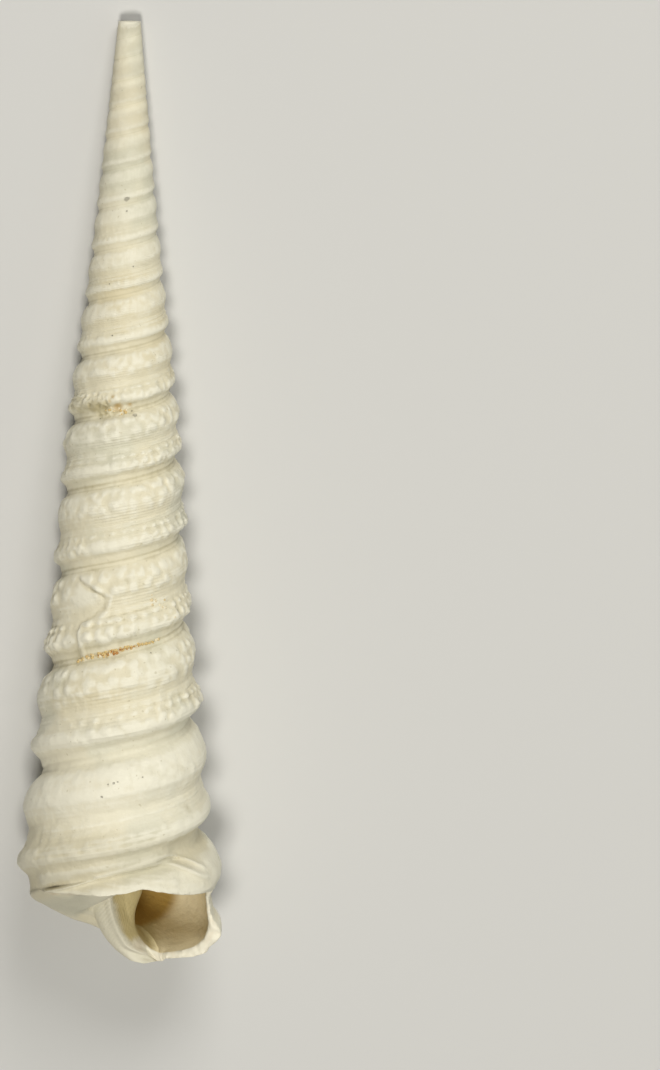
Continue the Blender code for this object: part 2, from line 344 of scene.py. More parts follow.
WALL = 0.65 * MM                # thickness of the wall at its broken edges
STRIP_FADE = 0.1                # the strip's wall and roof thin out over this last stretch
ROOF = 0.55 * MM
BASE_SLOPE = math.radians(25.0)
BASE_BULGE = 0.42 * MM
BASE_END = 69.72 * MM           # lowest, worn end of the last turn, from the ideal tip
WEAR_SLOPE = 0.18               # how fast the worn end rises towards the back
WEAR_BLEND = 0.35 * MM
UNWORN_END = BASE_END + WEAR_BLEND
PILLAR_RADIUS = 1.0 * MM
PILLAR_SWAY = -0.7 * MM         # how far the pillar stands to the left
PILLAR_CURL = 100.0             # and how fast it curves back to the right, for each metre
CURL_START = 65.0 * MM
SWAY_REACH = 3.5 * MM
SWAY_FADE = 3.0 * MM
CAVITY_TURNS = 0.55             # how far back the open tube runs behind the mouth
TUBE_SECTIONS = 80
BASE_STEPS = 48
PILLAR_STEPS = 26
EDGE_STEPS = 8                  # down the broken edge of the strip
LIP_TURN = math.radians(68.0)   # how far the inner lip is turned to the front of the pillar
LIP_REACH = 2.8 * MM            # radius where that turning fades out
LIP_LOW = 68.5 * MM             # the lip swings back to the right from here
LIP_END = 69.6 * MM             # and meets the floor of the mouth here
LIP_RISE = 0.32 * MM            # how far the lip stands up
LIP_WIDTH = 0.045               # its half width, in turns
FLANK_SWELL = 1.3 * MM          # how much thicker the pillar gets behind the lip
FLANK_SHARE = 0.22              # and over what share of the open tube
FLANK_RADII = (1.3 * MM, 3.2 * MM)  # the pillar's side of the mouth fades out between these
FLANK_FADE = (65.4 * MM, 68.8 * MM)  # the thicker pillar fades out again, towards the floor
LIP_TONE_FADE = (67.5 * MM, 68.5 * MM)  # and lower down its edge is broken, like the floor's
EDGE_BULGE = 0.14 * MM          # how far broken edges stand out, rounded
LIP_SHADE = 0.02                # how far the mouth's colour, with its painted shade, begins on the pillar's side
# How far the worn end rises above its lowest place: sideways place, then rise, in millimetres.
BASE_WEAR = [
    (-7.0, 4.2), (-4.7, 3.55), (-3.6, 2.85), (-1.7, 2.0), (-0.8, 1.5), (-0.4, 1.15), (0.1, 0.7),
    (0.95, 0.2), (1.9, 0.0), (3.1, 0.12), (3.3, 0.32), (5.0, 0.5), (5.9, 0.8), (6.6, 1.35), (7.0, 1.9),
]
# Section of the open tube at the mouth: radius and distance down the axis, in millimetres.
TUBE_SECTION = [
    (5.60, 62.5), (5.80, 63.6), (5.92, 65.0), (6.06, 66.2), (6.12, 67.1), (5.88, 67.95),
    (5.00, 68.68), (3.40, 69.05), (2.20, 69.05), (1.45, 68.45), (1.25, 67.3), (1.20, 66.3),
    (1.20, 65.0), (1.50, 64.1), (3.20, 63.1), (4.70, 62.4),
]


def height(seam, azimuth):
    """Distance down the axis of a spiral line, counted in seams, at an azimuth."""
    return SUTURE_ZERO * math.exp(GROWTH * (seam + azimuth / TURN))


def read_table(table, place):
    """Value of a short table at a place, joined by straight lines."""
    return float(np.interp(place, *zip(*table)))


def radius(seam, azimuth):
    """Radius of the smooth wall at a spiral line."""
    along = seam + azimuth / TURN
    relief = read_table(TURN_OUTLINE, seam % 1.0) - OUTLINE_FLOOR
    share = OUTLINE_FLOOR * read_table(GIRTH, along) + relief * read_table(RELIEF, along)
    turned = math.floor(seam) - LAST_SEAM + (azimuth - MOUTH_AZIMUTH) / TURN
    swollen = math.sin(math.pi * min(1.0, seam % 1.0 / FLARE_END)) * math.exp(-(turned / FLARE_TURNS) ** 2)
    return share * height(seam, azimuth) + FLARE * swollen


def eased(value, start, end):
    """From 0 at the start to 1 at the end, softly."""
    share = np.clip((value - start) / (end - start), 0.0, 1.0)
    return share * share * (3.0 - 2.0 * share)


def base_rows(azimuth, edge_down):
    """Radius and distance down the axis of one column of the base, in from the edge of the wall."""
    hang = max(0.0, STRIP_TURNS - (azimuth - MOUTH_AZIMUTH) / TURN)
    full = min(1.0, hang / STRIP_FADE)
    bite = STRIP_NOTCH[2] * math.exp(-((azimuth - STRIP_NOTCH[0]) / STRIP_NOTCH[1]) ** 2)
    hang -= min(hang, STRIP_WORN * math.sin(math.pi * hang / STRIP_TURNS) + bite)
    r_seam, seam_down = radius(LAST_SEAM, azimuth), height(LAST_SEAM, azimuth)
    r_inner = r_seam - WALL * full
    roof_top = seam_down + ROOF * full
    roof_down = roof_top + (r_seam - r_inner) * math.tan(BASE_SLOPE)
    rows = []
    for share in np.linspace(0.0, 1.0, EDGE_STEPS + 1):
        wall_r = radius(LAST_SEAM + hang * (1.0 - share), azimuth) - WALL * full
        rows.append((wall_r, edge_down + (roof_down - edge_down) * share))
    for share in np.linspace(0.0, 1.0, BASE_STEPS + 1)[1:]:
        r = r_inner + (PILLAR_RADIUS - r_inner) * share
        inward = max(0.0, (r_seam - r) / r_seam)
        bulge = BASE_BULGE * (1.0 - full) * math.sin(math.pi * inward ** 0.45)
        rows.append((r, roof_top + inward * r_seam * math.tan(BASE_SLOPE) + bulge))
    inner_down = rows[-1][1]
    for share in np.linspace(0.0, 1.0, PILLAR_STEPS + 1)[1:]:
        rows.append((PILLAR_RADIUS, inner_down + max(0.0, UNWORN_END - inner_down) * share))
    return rows


def lipped(r, down, azimuth):
    """Place of a point of the base once the inner lip is turned to the front and raised."""
    turned = (azimuth - MOUTH_AZIMUTH) / TURN
    near = 1.0 - eased(r, PILLAR_RADIUS, LIP_REACH)
    high = 1.0 - eased(down, LIP_LOW, LIP_END)
    azimuth += LIP_TURN * near * high * (1.0 - turned)
    r += LIP_RISE * near * math.exp(-(turned / LIP_WIDTH) ** 2) * eased(down, 64.2 * MM, 65.4 * MM)
    return r * math.cos(azimuth), -down, r * math.sin(azimuth)


def closed_spline(knots, count=24):
    """Points of a smooth closed curve through knots, several to each stretch."""
    knots = np.array(knots)
    before, after, beyond = (np.roll(knots, shift, 0) for shift in (1, -1, -2))
    curve = []
    for t in np.arange(count) / count:
        curve.append(0.5 * (2 * knots + (after - before) * t
                            + (2 * before - 5 * knots + 4 * after - beyond) * t ** 2
                            + (3 * knots - before - 3 * after + beyond) * t ** 3))
    return np.array(curve).transpose(1, 0, 2).reshape(-1, 2)


def facing(section, outline, centre):
    """Point of a section that lies in the same direction from the centre as each outline point."""
    turned = np.arctan2(*(section - centre).T)
    order = np.argsort(turned)
    wanted = np.arctan2(*(outline - centre).T)
    return np.stack([np.interp(wanted, turned[order], section[order, axis], period=TURN)
                     for axis in (0, 1)], axis=1)


bm = bmesh.new()
bm.from_mesh(wall)
outer_of = bm.verts.layers.float.new("outer")
inside_of = bm.verts.layers.float.new("inside")
broken_of = bm.verts.layers.float.new("broken")
wall_verts = bm.verts[:]
for vert in wall_verts:
    vert[outer_of] = 1.0


def new_point(place, inside=0.0, broken=0.0):
    vert = bm.verts.new(place)
    vert[inside_of] = inside
    vert[broken_of] = broken
    return vert


def round_point(r, down, azimuth, inside=0.0, broken=0.0):
    return new_point((r * math.cos(azimuth), -down, r * math.sin(azimuth)), inside, broken)


def banded(near, far):
    """Faces between two closed rings of as many points."""
    for place in range(len(near)):
        after = (place + 1) % len(near)
        bm.faces.new((near[place], near[after], far[after], far[place]))


column_azimuths = [MOUTH_AZIMUTH + TURN * column / COLUMNS for column in range(COLUMNS + 1)]
base_columns, base_places = [], []
for column, azimuth in enumerate(column_azimuths):
    edge = wall_verts[column * (wall_rows + 1) + wall_rows]
    rows = base_rows(azimuth, -edge.co.y)
    hang = max(0.0, 1.0 - (azimuth - MOUTH_AZIMUTH) / TURN / STRIP_TURNS)
    base_places.append(rows)
    torn = min(1.0, 9.0 * hang)
    base_columns.append([edge] + [new_point(lipped(r, down, azimuth), 0.0, torn * (row <= EDGE_STEPS))
                                  for row, (r, down) in enumerate(rows)])
for left, right in zip(base_columns, base_columns[1:]):
    for row in range(len(left) - 1):
        bm.faces.new((left[row], left[row + 1], right[row + 1], right[row]))

# The worn end of the pillar, closed to a point.
ring = [column[-1] for column in base_columns]
for share in (0.85, 0.65, 0.4, 0.2):
    inner = [round_point(PILLAR_RADIUS * share, UNWORN_END, azimuth) for azimuth in column_azimuths]
    for place in range(COLUMNS):
        bm.faces.new((ring[place], inner[place], inner[place + 1], ring[place + 1]))
    ring = inner
pole = round_point(0.0, UNWORN_END, 0.0)
for place in range(COLUMNS):
    bm.faces.new((ring[place], pole, ring[place + 1]))

# Columns and rows that meet are sewn together at the end; the mouth is built on their points.
sewn = bm.verts[:]

# The outline of the mouth: down the broken right wall, in along the floor, up the inner lip, and
# out under the strip. Each of its points is paired with its place in the mouth's plane.
roof = list(zip(base_columns[0][1:], base_places[0]))
floor_side = list(zip(base_columns[-1][1:], base_places[-1]))[EDGE_STEPS + 1:]
strip_end = (LAST_SEAM - FIRST_SEAM - 1) * ROWS + STRIP_ROWS
right_wall = []
for row in range(strip_end, wall_rows - STRIP_ROWS + 1):
    vert = wall_verts[COLUMNS * (wall_rows + 1) + row]
    right_wall.append((vert, (math.hypot(vert.co.x, vert.co.z), -vert.co.y)))
loop = right_wall + floor_side + roof[::-1]
outline_verts = [vert for vert, _ in loop]
outline = np.array([place for _, place in loop])
section = closed_spline(TUBE_SECTION) * MM
lip = facing(section, outline, section.mean(axis=0))

# From that outline the broken edge runs in to the tube, and the tube runs back along the spiral.
out_of_mouth = np.array((-math.sin(MOUTH_AZIMUTH), 0.0, math.cos(MOUTH_AZIMUTH)))
lip_places = np.stack([lip[:, 0] * math.cos(MOUTH_AZIMUTH), -lip[:, 1],
                       lip[:, 0] * math.sin(MOUTH_AZIMUTH)], axis=1)
outline_places = np.array([vert.co[:] for vert in outline_verts])
pillar_side = 1.0 - eased(lip[:, 0], *FLANK_RADII)
smooth_side = np.minimum(1.0, 2.2 * pillar_side) * (1.0 - eased(lip[:, 1], *LIP_TONE_FADE))
flank = pillar_side * (1.0 - eased(lip[:, 1], *FLANK_FADE))
rings = [outline_verts]
for share in (0.08, 0.16, 0.26, 0.38, 0.5, 0.62, 0.75, 0.88, 1.0):
    # The wall breaks off square, but the pillar's flank runs in smoothly behind its lip.
    shift = EDGE_BULGE * math.sin(math.pi * share) ** 0.6 * (1.0 - pillar_side)
    ring_places = outline_places + (lip_places - outline_places) * share
    ring_places += shift[:, None] * out_of_mouth
    depth = LIP_SHADE * smooth_side * float(eased(share, 0.14, 0.4))
    fresh = 1.0 - smooth_side
    rings.append([new_point(*point) for point in zip(ring_places, depth, fresh)])
for step in range(1, TUBE_SECTIONS + 1):
    gone = step / TUBE_SECTIONS
    azimuth = MOUTH_AZIMUTH - CAVITY_TURNS * TURN * gone
    shrunk = math.exp(-GROWTH * CAVITY_TURNS * gone)
    part = min(1.0, gone / FLANK_SHARE)
    swollen = FLANK_SWELL * (4.0 * part - part ** 4) / 3.0 * flank
    rings.append([round_point((r + extra) * shrunk, down * shrunk, azimuth, gone)
                  for (r, down), extra in zip(lip, swollen)])
for near, far in zip(rings, rings[1:]):
    banded(near, far)
bm.faces.new(rings[-1])
bmesh.ops.remove_doubles(bm, verts=sewn, dist=0.002 * MM)


# --- Breaks, scars and wear --------------------------------------------------------------------
# The shell has lived and been buried. Its tip is snapped off, a healed break shows as a step in the
# ninth turn, the outer layer has flaked off the strip over the mouth, and the surface is pitted.

TIP_BREAK = 8.38 * MM           # from the ideal tip to the flat break
SCAR = [(44.1, -2.9), (44.7, -2.1), (45.1, -1.2), (45.42, -0.77), (46.0, -0.95), (46.57, -1.47),
        (47.1, -2.5), (47.66, -2.68), (48.84, -2.55), (49.5, -2.45)]  # down, then sideways, in mm
# Edge that is left of the outer layer on the strip: azimuth in degrees, then seam number.
FLAKE_EDGE = [(10.0, 11.28), (30.0, 11.20), (38.0, 11.142), (41.0, 11.103), (44.0, 11.060),
              (48.0, 11.022), (54.0, 10.995), (61.0, 10.980), (72.0, 10.976), (88.0, 10.971),
              (97.0, 10.976), (105.0, 10.995), (112.0, 11.008), (126.0, 11.026), (158.0, 11.03)]
# And the thin ridge of the layer above it.
UPPER_RIDGE = [(25.0, 11.180), (31.0, 11.090), (36.0, 11.039), (44.0, 10.982), (50.0, 10.952),
               (58.0, 10.938), (67.0, 10.946), (76.0, 10.952), (90.0, 10.954)]
SHELF_FILL = (10.905, 0.075, 0.44 * MM)  # seam number, half width and height of the filled shelf
# Shallow grooves above the strip: seam number, how far it strays, half width, depth.
GROOVES = [(10.752, 0.0010, 0.015, 0.08 * MM), (10.700, 0.0015, 0.013, 0.05 * MM)]
BARE_WALL = 0.16 * MM           # how far the bare wall of the strip lies below the outer layer
HOLLOW = (136.0, 10.0, 11.002, 0.022, 0.20 * MM)  # azimuth and seam number, half widths, and depth
STREAK_HEIGHT = 0.022 * MM      # of the rough streaks on the bare wall
DECAY_DEPTH = 0.11 * MM         # how deep the brown patch is eaten, and its one hole
HOLE_DEPTH = 0.12 * MM
LAYER = 0.32 * MM               # thickness of the layers that show in broken edges

bmesh.ops.bisect_plane(bm, geom=bm.verts[:] + bm.edges[:] + bm.faces[:], clear_outer=True,
                       plane_co=(0.0, -TIP_BREAK, 0.0), plane_no=(0.0, 1.0, 0.0))
cap = bmesh.ops.holes_fill(bm, edges=[edge for edge in bm.edges if edge.is_boundary], sides=0)["faces"][0]
rim = list(cap.verts)
bm.faces.remove(cap)
middle = sum((vert.co for vert in rim), Vector()) / len(rim)
ring = rim
for share in (0.92, 0.78, 0.62, 0.46, 0.30, 0.15):
    inner = [new_point(middle + (vert.co - middle) * share, 0.0, 1.0) for vert in rim]
    banded(ring, inner)
    ring = inner
pole = new_point(middle, 0.0, 1.0)
for place in range(len(rim)):
    bm.faces.new((ring[place], ring[(place + 1) % len(rim)], pole))
bmesh.ops.recalc_face_normals(bm, faces=bm.faces)
if bm.calc_volume(signed=True) < 0.0:
    bmesh.ops.reverse_faces(bm, faces=bm.faces)
shell_mesh = bpy.data.meshes.new("turritella_fossil_shell")
bm.to_mesh(shell_mesh)
bm.free()


def read_points(mesh):
    flat = np.empty(len(mesh.vertices) * 3)
    mesh.vertices.foreach_get("co", flat)
    return flat.reshape(-1, 3)


def read_values(mesh, name):
    values = np.empty(len(mesh.vertices))
    mesh.attributes[name].data.foreach_get("value", values)
    return values


def swells(places, size, seed, waves=16):
    """Even, random swells of about one size, mostly between -1 and 1."""
    dice = np.random.default_rng(seed)
    ways = dice.normal(size=(waves, 3))
    ways *= TURN / size * dice.uniform(0.7, 1.4, (waves, 1)) / np.linalg.norm(ways, axis=1)[:, None]
    return np.sin(places @ ways.T + dice.uniform(0.0, TURN, waves)).sum(axis=1) / math.sqrt(waves)


points = read_points(shell_mesh)
outer, broken = read_values(shell_mesh, "outer"), read_values(shell_mesh, "broken")
x, down, z = points[:, 0], -points[:, 1], points[:, 2]
r = np.hypot(x, z) + 1e-9
azimuth = (np.arctan2(z, x) - MOUTH_AZIMUTH + 1e-5) % TURN + MOUTH_AZIMUTH
seam = np.log(down / SUTURE_ZERO) / GROWTH - azimuth / TURN
degrees = np.degrees(azimuth)
front = outer * (z > 0.0)
rough = swells(points, 0.5 * MM, 3)

# The healed break: left of it the wall stands lower, and a groove follows its edge.
wavy = swells(points, 1.3 * MM, 4)
scar_x = np.interp(down / MM, *zip(*SCAR)) * MM + 0.10 * MM * wavy
knots = np.array(SCAR)
gap = np.full(len(points), 1.0)
for (down_a, x_a), (down_b, x_b) in zip(knots, knots[1:]):
    step = np.array((x_b - x_a, down_b - down_a))
    away = np.stack([x / MM - x_a, down / MM - down_a], axis=1)
    share = np.clip(away @ step / (step @ step), 0.0, 1.0)
    gap = np.minimum(gap, np.linalg.norm(away - share[:, None] * step, axis=1))
beside = eased(down / MM, 43.9, 44.8) * (1.0 - eased(down / MM, 49.3, 49.7)) * front
left = (1.0 - eased(x, scar_x - 0.16 * MM, scar_x + 0.10 * MM)) * eased(x / MM, -4.4, -2.9)
along = seam + azimuth / TURN
even_r = (np.interp(seam % 1.0, *zip(*TURN_OUTLINE)) - OUTLINE_FLOOR) * np.interp(along, *zip(*RELIEF))
even_r = (even_r + OUTLINE_FLOOR * np.interp(along, *zip(*GIRTH))) * down
lift = beside * left * (0.8 * (even_r - r) - 0.10 * MM)
lift -= 0.07 * MM * beside * np.exp(-(gap / 0.14) ** 2) * (1.0 - eased(down / MM, 46.4, 47.4))
lift += 0.05 * MM * beside * np.exp(-((gap - 0.28) / 0.15) ** 2) * (x > scar_x)

# Above the strip the shelf is filled in, so that the wall runs on flat, with two shallow grooves.
filled = outer * eased(degrees, 44.0, 66.0) * (1.0 - eased(degrees, 135.0, 158.0))
lift += SHELF_FILL[2] * filled * np.exp(-((seam - SHELF_FILL[0]) / SHELF_FILL[1]) ** 2)
for middle, stray, width, depth in GROOVES:
    lift -= depth * filled * np.exp(-((seam - middle - stray * wavy) / width) ** 2)

# The strip: smooth ridges along the edge of what is left of the outer layer, bare wall below it.
below, under = seam.copy(), seam.copy()
for turned in (-6.0, -3.0, 0.0, 3.0, 6.0):
    below -= 0.2 * np.interp(degrees + turned, *zip(*FLAKE_EDGE))
    under -= 0.2 * np.interp(degrees + turned, *zip(*UPPER_RIDGE))
on_strip = outer * eased(seam, 10.85, 10.90) * (1.0 - eased(degrees, 140.0, 158.0))
lift -= BARE_WALL * on_strip * eased(below, 0.010, 0.045) * eased(degrees, 22.0, 50.0)
thick = 0.011 + 0.012 * (1.0 - eased(degrees, 64.0, 84.0))
for off, width, rise, first, last in ((below, thick, 0.22, 22.0, 150.0), (under, 0.015, 0.20, 22.0, 92.0)):
    reach = eased(degrees, first, first + 12.0) * (1.0 - eased(degrees, last - 22.0, last))
    lift += rise * MM * on_strip * reach * np.exp(-(off / width) ** 2)
hollow_turned, hollow_span, hollow_seam, hollow_width, hollow_depth = HOLLOW
lift -= hollow_depth * outer * np.exp(-((degrees - hollow_turned) / hollow_span) ** 2
                                      - ((seam - hollow_seam) / hollow_width) ** 2)
streaks = swells(points * (0.18, 1.0, 0.18), 0.30 * MM, 5)
lift += STREAK_HEIGHT * on_strip * eased(below, 0.03, 0.08) * (streaks + 0.3 * rough)

# A decayed patch in the sixth turn, with one hole at its edge.
decayed = np.exp(-((x / MM + 1.3) / 1.6) ** 2 - ((down / MM - 33.2 - 0.12 * x / MM) / 0.75) ** 2) * front
hole = np.exp(-((x / MM + 0.30) / 0.30) ** 2 - ((down / MM - 33.0) / 0.35) ** 2) * front
lift -= DECAY_DEPTH * decayed * np.abs(swells(points, 0.6 * MM, 7)) + HOLE_DEPTH * hole

# Broken edges are layered and chipped; the broken tip is uneven.
layers = np.sin(TURN * (r / LAYER + 0.3 * rough))
lift += 0.022 * MM * broken * layers
tip = np.exp(-((down - TIP_BREAK) / (0.12 * MM)) ** 2)
points[:, 0] += lift * x / r
points[:, 2] += lift * z / r
points[:, 1] += broken * 0.028 * MM * swells(points, 0.6 * MM, 9)
points[:, 2] += broken * 0.045 * MM * swells(points, 0.5 * MM, 11)
points[:, 1] -= tip * 0.10 * MM * (1.2 + swells(points, 0.5 * MM, 13)) * (r < 0.66 * MM)


# --- Lying down --------------------------------------------------------------------------------
# The finished shell is worn at its lower end and lies on the keels of its lower turns, which are
# worn flat where they touch the ground. Its surface is thinned to a mesh that can be shipped.

LIE_SLOPE = math.radians(5.67)  # slope of the axis, down to the tip
REST_SEAM = 10.74               # seam number of the keel that it rests on
WORN_FLAT = 0.16 * MM           # how much of the keels is worn off where they touch the ground
TRIANGLES = 188000              # left in the thinned surface
HOLLOW_ROUNDS = 14              # how often the surface is softened to find its hollows
HOLLOW_SCALE = 0.05 * MM        # depth that counts as one
GRAIN_SIZES = (0.045 * MM, 0.105 * MM)
REST_AZIMUTH = 0.75 * TURN
rest_place = Vector((0.0, height(REST_SEAM, REST_AZIMUTH), radius(REST_SEAM, REST_AZIMUTH) - WORN_FLAT))
lie_down = Matrix.Rotation(-LIE_SLOPE, 4, "X") @ Matrix.Translation(rest_place)


def swayed(points):
    """Points of the base, shifted sideways with the pillar that it closes in to."""
    down = -points[:, 1]
    reach = np.maximum(0.0, 1.0 - np.hypot(points[:, 0], points[:, 2]) / SWAY_REACH)
    begun = np.clip((down - height(LAST_SEAM, MOUTH_AZIMUTH)) / SWAY_FADE, 0.0, 1.0)
    curl = PILLAR_CURL * np.maximum(0.0, np.minimum(down, BASE_END) - CURL_START) ** 2
    points[:, 0] += (PILLAR_SWAY + curl) * np.minimum(1.0, 1.5 * reach) * begun
    return points


def worn_away(points):
    """Points of the base, with its broken lower end worn off."""
    down = -points[:, 1]
    rise = np.interp(points[:, 0] / MM, *zip(*BASE_WEAR))
    limit = BASE_END - rise * MM + WEAR_SLOPE * np.minimum(0.0, points[:, 2])
    blend = 0.25 * np.maximum(0.0, WEAR_BLEND - np.abs(down - limit)) ** 2 / WEAR_BLEND
    points[:, 1] = blend - np.minimum(down, limit)
    return points


def kept_in(points):
    """Points held to the measured size of the shell, and worn flat on the ground."""
    return np.clip(points, np.array(cad_low), np.array(cad_high))


def hollows_of(mesh, rounds):
    """How far each point lies below its softened surroundings, in metres."""
    points, count = read_points(mesh), len(mesh.vertices)
    ends = np.empty(len(mesh.edges) * 2, dtype=int)
    mesh.edges.foreach_get("vertices", ends)
    first, second = ends[0::2], ends[1::2]
    number = np.bincount(ends, minlength=count)[:, None]
    soft = points.copy()
    for _ in range(rounds):
        total = np.stack([np.bincount(first, soft[second, axis], count)
                          + np.bincount(second, soft[first, axis], count) for axis in range(3)], axis=1)
        soft = 0.5 * soft + 0.5 * total / number
    normals = np.empty(count * 3)
    mesh.vertex_normals.foreach_get("vector", normals)
    # Only the wall has such hollows, up to the points that the base joins on to.
    outer = read_values(mesh, "outer")
    wall_only = outer.copy()
    np.minimum.at(wall_only, first, outer[second])
    np.minimum.at(wall_only, second, outer[first])
    return ((soft - points) * normals.reshape(-1, 3)).sum(axis=1) * wall_only


points = worn_away(swayed(points))
points = points @ np.array(lie_down.to_3x3()).T + np.array(lie_down.translation)
shell_mesh.vertices.foreach_set("co", kept_in(points).ravel())
dense = placed("dense_shell", shell_mesh)
thin = dense.modifiers.new("thin", "DECIMATE")
thin.use_collapse_triangulate = True
thin.ratio = TRIANGLES / sum(len(face.vertices) - 2 for face in shell_mesh.polygons)
mesh = bpy.data.meshes.new_from_object(dense.evaluated_get(bpy.context.evaluated_depsgraph_get()))
bpy.data.objects.remove(dense)
mesh.vertices.foreach_set("co", kept_in(read_points(mesh)).ravel())
hollow = mesh.attributes.new("hollow", "FLOAT", "POINT")
hollow.data.foreach_set("value", hollows_of(mesh, HOLLOW_ROUNDS) / HOLLOW_SCALE)

# Grains of rusty sand that stuck in one crease and in the pits: azimuth in degrees and seam number
# where a row of them begins and ends, how far they stray, how many there are, and how rusty.
GRAIN_ROWS = [(128.0, 8.965, 104.0, 8.952, 0.010, 30, 0.7), (108.0, 8.955, 70.0, 8.940, 0.016, 60, 1.0),
              (72.0, 8.945, 50.0, 8.950, 0.008, 16, 0.6), (62.0, 8.50, 40.0, 8.66, 0.045, 9, 0.3),
              (118.0, 5.86, 84.0, 5.98, 0.050, 12, 0.5)]
bm = bmesh.new()
bm.from_mesh(mesh)
surface_tree = BVHTree.FromBMesh(bm)
grain_of = bm.verts.layers.float.new("grain")
hollow_of = bm.verts.layers.float["hollow"]
dice = np.random.default_rng(17)
for first_degrees, first_seam, last_degrees, last_seam, stray, count, rusty in GRAIN_ROWS:
    for share in dice.uniform(0.0, 1.0, count):
        azimuth = math.radians(first_degrees + (last_degrees - first_degrees) * share)
        seam = first_seam + (last_seam - first_seam) * share + stray * dice.normal()
        way = Vector((math.cos(azimuth), 0.0, math.sin(azimuth)))
        start = way * 9.0 * MM - Vector((0.0, height(seam, azimuth), 0.0))
        hit = surface_tree.ray_cast(lie_down @ start, -(lie_down.to_3x3() @ way))[0]
        size = dice.uniform(*GRAIN_SIZES)
        shape = Matrix.Translation(hit) @ Matrix.Diagonal((*dice.uniform(0.8, 1.3, 3), 1.0))
        verts = bmesh.ops.create_icosphere(bm, subdivisions=2, radius=size, matrix=shape)["verts"]
        kind = dice.uniform(0.2, rusty)
        for vert in verts:
            vert[grain_of] = kind
            vert[hollow_of] = 0.0
bm.to_mesh(mesh)
bm.free()

shell = placed("fossil_shell", mesh)
mesh.materials.clear()
mesh.materials.append(chalky_shell)
mesh.shade_smooth()
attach(shell, "root")
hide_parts("turritella_shell")


# --- The shell's material ----------------------------------------------------------------------
# Chalky, matte aragonite with a faint satin sheen: cream where it is clean, whiter on worn crests,
# tan in the seams and pits, partly where earth stays and partly painted shade, and grey or ochre in
# soft clouds. Broken edges are fresh and bright. The last whole turn is painted paler as painted
# light, the base darker to the left as painted shade, and the tube has painted light near the mouth
# and painted shade on the pillar's side, getting browner and darker further in.

CREAM = (0.735, 0.685, 0.515, 1.0)
PALE = (0.85, 0.825, 0.695, 1.0)
GREY = (0.635, 0.615, 0.48, 1.0)
OCHRE = (0.68, 0.61, 0.415, 1.0)
TAN = (0.42, 0.37, 0.22, 1.0)
PATCH_BROWN = (0.40, 0.34, 0.17, 1.0)
AMBER_BROWN = (0.47, 0.30, 0.08, 1.0)
RUST = (0.42, 0.17, 0.035, 1.0)
RUST_TINT = (0.50, 0.33, 0.13, 1.0)
SAND = (0.62, 0.46, 0.20, 1.0)
PALE_SAND = (0.78, 0.70, 0.50, 1.0)
DIRT_AND_SHADE = (0.26, 0.21, 0.09, 1.0)
STRIP_SHADE = (0.54, 0.495, 0.35, 1.0)
BASE_GREY_AND_SHADE = (0.47, 0.46, 0.34, 1.0)
FRESH = (0.84, 0.79, 0.64, 1.0)
FRESH_TAN = (0.72, 0.61, 0.44, 1.0)
DARK = (0.055, 0.045, 0.03, 1.0)
# The tube's tan is brightened as painted light; its flank tan and deep brown are painted shade.
TUBE_LIT_TAN = (0.93, 0.815, 0.54, 1.0)
TUBE_DEEP_SHADE = (0.45, 0.29, 0.075, 1.0)
FLANK_SHADED_TAN = (0.60, 0.50, 0.255, 1.0)
FINE, MEDIUM, CLOUDY = 2600.0, 700.0, 190.0  # how closely the chalk's three grains stand
THREADS = 26                    # in one turn
BUMP_STRENGTH = 0.8
ROUGHNESS, SHEEN = 0.58, 0.4    # matte, with a faint satin gloss
PATCH = ((-1.9 * MM, 1.9 * MM), (33.1 * MM, 0.70 * MM))  # place and half width, sideways and down
RUSTY_CREASE = (-0.35 * MM, 48.75 * MM)  # middle of the crease that holds rusty sand
# Dark pits on the front: sideways and down, then radius, in millimetres.
PITS = [
    (-0.89, 58.08, 0.08), (-0.15, 57.20, 0.07), (0.12, 57.10, 0.05), (-0.50, 57.27, 0.05),
    (1.71, 56.81, 0.05), (1.45, 56.86, 0.04), (0.73, 33.60, 0.15), (0.60, 33.30, 0.07),
    (0.02, 19.75, 0.15), (0.05, 20.50, 0.05), (0.54, 24.05, 0.045), (-0.99, 25.2, 0.045),
    (-1.20, 28.45, 0.05), (-0.74, 28.50, 0.06), (-0.10, 28.75, 0.04), (-1.03, 34.9, 0.07),
    (-1.45, 33.9, 0.06), (2.1, 48.9, 0.05), (-2.6, 42.1, 0.06),
]
# Amber spots in the decayed patch, in the same way.
AMBER = [(-0.30, 33.05, 0.42), (-0.62, 32.45, 0.20), (0.50, 32.85, 0.34), (-0.85, 32.7, 0.22)]


def mixed(share, first, second):
    """Mix of two colours in a material, by a share."""
    node = share.tree.nodes.new("ShaderNodeMix")
    node.data_type = "RGBA"
    node.clamp_factor = True
    for name, value in (("Factor_Float", share), ("A_Color", first), ("B_Color", second)):
        feed(next(entry for entry in node.inputs if entry.identifier == name), value)
    return Value(share.tree, next(entry for entry in node.outputs if entry.identifier == "Result_Color"))


def ramp(value, low, high):
    """From 0 at the low value to 1 at the high one, softly."""
    node = value.tree.nodes.new("ShaderNodeMapRange")
    node.interpolation_type = "SMOOTHSTEP"
    feed(node.inputs["Value"], value)
    node.inputs["From Min"].default_value = low
    node.inputs["From Max"].default_value = high
    return Value(value.tree, node.outputs["Result"])


def attribute(tree, name):
    """What the mesh says of each point."""
    node = tree.nodes.new("ShaderNodeAttribute")
    node.attribute_name = name
    return Value(tree, node.outputs["Fac"])


def on_front(x, down):
    """Place on the front of the smooth wall."""
    azimuth = 0.25 * TURN
    for _ in range(12):
        r = radius(math.log(down / SUTURE_ZERO) / GROWTH - azimuth / TURN, azimuth)
        azimuth = math.acos(max(-1.0, min(1.0, x / r)))
    return Vector((x, -down, r * math.sin(azimuth)))


def distance_to(vector, place):
    """How far a place is, from each point of the surface."""
    node = vector.tree.nodes.new("ShaderNodeVectorMath")
    node.operation = "DISTANCE"
    feed(node.inputs[0], vector)
    node.inputs[1].default_value = place
    return Value(vector.tree, node.outputs["Value"])


